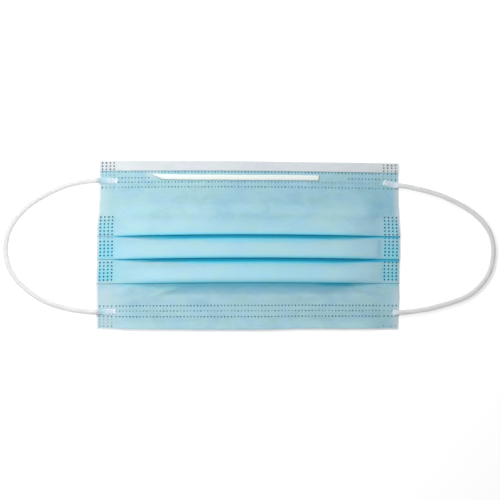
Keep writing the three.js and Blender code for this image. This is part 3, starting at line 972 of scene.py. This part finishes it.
def nonwoven(name, shades, through, roughness, bump):
    """A ply. shades names its colours, and through is the share of light that passes it."""
    nodes = Nodes(name)
    cloth = nodes.attribute("cloth", "Vector")
    press, deep = nodes.attribute("press"), nodes.attribute("deep")
    fibres, bond = bonded_fibres(nodes, cloth)
    clouds = nodes.noise(nodes.stretch(cloth, (0.035, 0.07, 1.0)), 1.0, 4.0, 0.62)
    streaks = nodes.noise(nodes.stretch(cloth, (0.12, 0.9, 1.0), 0.06), 1.0, 3.0, 0.55)
    base = nodes.mix(nodes.ramp(clouds, 0.3, 0.7), shades["thick"], shades["thin"])
    base = nodes.mix(nodes.math("MULTIPLY", nodes.attribute("stacked"), 0.75), base, shades["stacked"])
    base = nodes.mix(nodes.ramp(streaks, 0.55, 0.8, 0.0, 0.35), base, shades["streak"])
    patches = nodes.noise(nodes.stretch(cloth, (0.05, 0.08, 1.0), 0.3), 1.0, 3.0, 0.55, 0.8)
    tint = nodes.mix(nodes.ramp(patches, 0.42, 0.58), shades["cool"], shades["green"])
    base = nodes.mix(1.0, base, tint, "MULTIPLY")
    thickness = nodes.noise(nodes.stretch(cloth, (0.045, 0.075, 1.0), -0.5), 1.7, 3.0, 0.6, 1.2)
    base = nodes.mix(nodes.ramp(thickness, 0.4, 0.6, 0.0, 0.45), base, shades["streak"])
    # painted shade patches, multiplied in
    base = nodes.mix(nodes.attribute("painted_shade"), base, shades["painted_shade"], "MULTIPLY")
    base = nodes.mix(nodes.attribute("pale"), base, shades["pale"])
    base = nodes.mix(nodes.ramp(bond, 0.0, 1.0, 0.14, 0.0), base, shades["bond"])
    # painted glow and shade along the folds, and the stacked blue of the side blocks
    base = nodes.mix(nodes.math("MULTIPLY", deep, shades["depth"]), base, shades["deep"])
    # the darkest painted shadow, right under each pleat's edge
    base = nodes.mix(nodes.attribute("core"), base, shades["core"])
    # the raised rim round each dot: a painted highlight on single cloth, a deeper blue where the layers
    # stack
    ring = nodes.mix(nodes.attribute("stacked"), shades["ring"], shades["stacked ring"])
    base = nodes.mix(nodes.attribute("raised"), base, ring)
    base = nodes.mix(nodes.ramp(press, 0.0, 0.85), base, shades["dot"])
    relief = nodes.math("ADD", nodes.math("MULTIPLY", fibres, 0.5), nodes.math("MULTIPLY", streaks, 0.7))
    normal = nodes.bump(relief, bump)
    rough = nodes.ramp(press, 0.2, 0.9, roughness, 0.35)
    values = {"Base Color": base, "Roughness": rough, "Specular IOR Level": 0.25, "Normal": normal}
    values |= {"Sheen Weight": 0.12, "Sheen Roughness": 0.5}
    return nodes.finish(values, through)


def film(name):
    """The plastic cover of the nose strip: smooth and white, a little uneven along its length."""
    nodes = Nodes(name)
    place = nodes.add("TexCoord").outputs["Object"]
    uneven = nodes.noise(nodes.stretch(place, (60.0, 700.0, 700.0)), 1.0, 3.0)
    base = nodes.mix(uneven, colour(0.63, 0.68, 0.66), colour(0.68, 0.735, 0.715))
    height = nodes.noise(nodes.stretch(place, (150.0, 1500.0, 900.0)), 1.0, 2.0)
    normal = nodes.bump(height, 0.25)
    values = {"Base Color": base, "Roughness": 0.34, "Specular IOR Level": 0.45, "Normal": normal}
    return nodes.finish(values)


def elastic(name):
    """Knitted elastic cord: soft white yarn with painted shade between the stitches, glazed at the
    welds.
    """
    nodes = Nodes(name)
    around = nodes.add("SeparateXYZ", {0: nodes.attribute("cord", "Vector")})
    turn, run = around.outputs[0], around.outputs[1]
    swing = nodes.math("SINE", nodes.math("MULTIPLY", run, 2 * math.pi / COURSE))
    lean = nodes.math("MULTIPLY", swing, STITCH_SWING)
    phase = nodes.math("ADD", nodes.math("MULTIPLY", turn, WALES), lean)
    stitch = nodes.ramp(nodes.math("COSINE", phase), -1.0, 0.2)
    yarn = nodes.math("SINE", nodes.math("MULTIPLY", run, 2 * math.pi / (COURSE / 5)))
    fuzz = nodes.noise(nodes.attribute("cord", "Vector"), 3.0, 4.0, 0.65)
    # painted shade in the grooves between the stitches
    base = nodes.mix(stitch, colour(0.76, 0.765, 0.77), colour(0.88, 0.88, 0.885))
    base = nodes.mix(nodes.ramp(fuzz, 0.4, 0.75, 0.0, 0.4), base, colour(0.92, 0.92, 0.925))
    fused = nodes.mix(nodes.attribute("tinted"), colour(0.53, 0.64, 0.73), colour(0.38, 0.60, 0.68))
    # painted highlight along the sides and at the tip of each welded end
    fused = nodes.mix(nodes.attribute("rim"), fused, colour(0.73, 0.80, 0.86))
    fused = nodes.mix(nodes.attribute("pin"), fused, colour(0.26, 0.47, 0.55))
    base = nodes.mix(nodes.attribute("pressed"), base, fused)
    height = nodes.math("ADD", nodes.math("MULTIPLY", yarn, 0.3), fuzz)
    normal = nodes.bump(height, 0.5)
    rough = nodes.ramp(nodes.attribute("pressed"), 0.0, 1.0, 0.85, 0.45)
    values = {"Base Color": base, "Roughness": rough, "Specular IOR Level": 0.3, "Normal": normal}
    values |= {"Sheen Weight": 0.2, "Sheen Roughness": 0.4}
    through = nodes.ramp(nodes.attribute("pressed"), 0.0, 1.0, 0.55, 0.1)
    return nodes.finish(values, through)


FLOOR_GLOW = 0.55  # the floor shines a little, so that it stays white away from the lamps


def floor_paint(name):
    nodes = Nodes(name)
    place = nodes.add("TexCoord").outputs["Object"]
    base = nodes.mix(nodes.noise(place, 9.0), colour(0.50, 0.50, 0.50), colour(0.52, 0.52, 0.52))
    values = {"Base Color": base, "Roughness": 0.9, "Specular IOR Level": 0.1}
    values |= {"Emission Color": colour(1, 1, 1), "Emission Strength": FLOOR_GLOW}
    return nodes.finish(values)


BLUE_SHADES = {
    "thick": colour(0.335, 0.575, 0.66),
    "thin": colour(0.40, 0.65, 0.725),
    "streak": colour(0.435, 0.67, 0.745),
    "cool": colour(0.98, 0.985, 1.03),
    "green": colour(1.02, 1.01, 0.96),
    "stacked": colour(0.42, 0.69, 0.78),
    # painted shade, multiplied into the cloth
    "painted_shade": colour(0.74, 0.87, 0.94),
    "pale": colour(0.62, 0.715, 0.765),
    "bond": colour(0.25, 0.53, 0.62),
    # painted glow and shade along the folds, also the stacked blue of the side blocks
    "deep": colour(0.008, 0.65, 0.88),
    "depth": 0.97,
    # the darkest painted shadow, under the pleats' edges
    "core": colour(0.007, 0.37, 0.60),
    # painted highlight on the dots' raised rims, and their colour where the layers stack
    "ring": colour(0.58, 0.80, 0.86),
    "stacked ring": colour(0.28, 0.64, 0.78),
    "dot": colour(0.025, 0.19, 0.28),
}
WHITE_SHADES = {
    "thick": colour(0.66, 0.705, 0.73),
    "thin": colour(0.70, 0.745, 0.77),
    "streak": colour(0.745, 0.78, 0.80),
    "cool": colour(1.0, 0.99, 1.01),
    "green": colour(1.0, 1.01, 0.99),
    "stacked": colour(0.68, 0.725, 0.75),
    # painted shade, multiplied into the cloth
    "painted_shade": colour(0.97, 0.98, 0.99),
    "pale": colour(0.745, 0.78, 0.80),
    "bond": colour(0.62, 0.66, 0.68),
    # painted glow and shade along the folds, also the stacked colour of the side blocks
    "deep": colour(0.35, 0.45, 0.50),
    "depth": 0.5,
    # the darkest painted shadow, under the pleats' edges
    "core": colour(0.30, 0.40, 0.46),
    # painted highlight on the dots' raised rims, and their colour where the layers stack
    "ring": colour(0.68, 0.75, 0.78),
    "stacked ring": colour(0.68, 0.75, 0.78),
    "dot": colour(0.14, 0.20, 0.22),
}

# -------------------------------- camera, stage and light

CAMERA_HEIGHT = 2000
VIEW_WIDTH = 290.45  # what the camera takes in across the middle of the mask
SENSOR = 36
AIM = (0.93, -2.67)  # the camera hangs above this x and y, and looks straight down
FLOOR_HALF = 1500
FLOOR_Z = -0.2  # a little below the lowest point of the mask
WORLD_LIGHT = 0.32  # strength of the even white light from all round


def camera():
    data = bpy.data.cameras.new("camera")
    data.sensor_width = SENSOR
    data.lens = SENSOR * CAMERA_HEIGHT / VIEW_WIDTH
    data.clip_start, data.clip_end = 0.1, 10
    eye = add_object("camera", data)
    eye.location = (AIM[0] * MM, AIM[1] * MM, CAMERA_HEIGHT * MM)
    bpy.context.scene.camera = eye


def lamp(name, place, aim, size, watts):
    """A round white lamp. Its place, its aim and its size are in metres."""
    data = bpy.data.lights.new(name, "AREA")
    data.shape = "DISK"
    data.size, data.energy = size, watts
    light = add_object(name, data)
    light.location = place
    light.rotation_mode = "QUATERNION"
    direction = np.array(aim, float) - np.array(place, float)
    light.rotation_quaternion = Vector(direction).to_track_quat("-Z", "Y")


def studio():
    half = FLOOR_HALF * MM
    mesh = bpy.data.meshes.new("floor")
    corners = [(-half, -half), (half, -half), (half, half), (-half, half)]
    mesh.from_pydata([(x, y, FLOOR_Z * MM) for x, y in corners], [], [(0, 1, 2, 3)])
    mesh.materials.append(floor_paint("floor_paint"))
    floor = add_object("floor", mesh)
    world = bpy.data.worlds.new("studio")
    world.use_nodes = True
    background = world.node_tree.nodes["Background"].inputs
    background["Color"].default_value = colour(1, 1, 1)
    background["Strength"].default_value = WORLD_LIGHT
    bpy.context.scene.world = world
    lamp("near", (-0.195, 0.055, 0.34), (0, 0, 0), 0.12, 1.08)
    lamp("window", (-0.3, 0.9, 0.8), (0, 0, 0), 0.35, 8.2)
    bpy.context.scene.view_settings.view_transform = "Standard"


# -------------------------------- the mask

camera()
studio()

cord_material = elastic("knitted_elastic")
for name, node, route, bright in (
    ("left_elastic", "ear_loop_left", LEFT_ROUTE, 5),
    ("right_elastic", "ear_loop_right", RIGHT_ROUTE, 11),
):
    loop, path, length = ear_loop(name, route, bright, cord_material)
    stands_for(loop, "white_elastic", node)

u = columns()
cloth, names = folded_cloth(u)
inf = math.inf
visible = [inf, *(pleat["edge_y"] for pleat in PLEATS), -inf]
hidden = [inf, *(hidden_y(k) for k in range(LAST)), -inf]
blue = nonwoven("blue_spunbond", BLUE_SHADES, 0.22, 0.78, 0.5)
outer_ply = ply("outer_ply", 1, cloth, names, u, visible, blue)
stands_for(outer_ply, "blue_nonwoven", "pleated_panel")

margin, margin_names = turned_margin(u, cloth[:, 0])
white = nonwoven("white_spunbond", WHITE_SHADES, 0.25, 0.8, 0.3)
whole = np.concatenate([margin, cloth], axis=1)
inner_ply = ply("inner_ply", -1, whole, margin_names + names, u, hidden, white)
stands_for(inner_ply, "white_nonwoven", "pleated_panel", "lining_margin")

strip = nose_strip(film("strip_cover"))
stands_for(strip, "white_strip", "nose_strip")
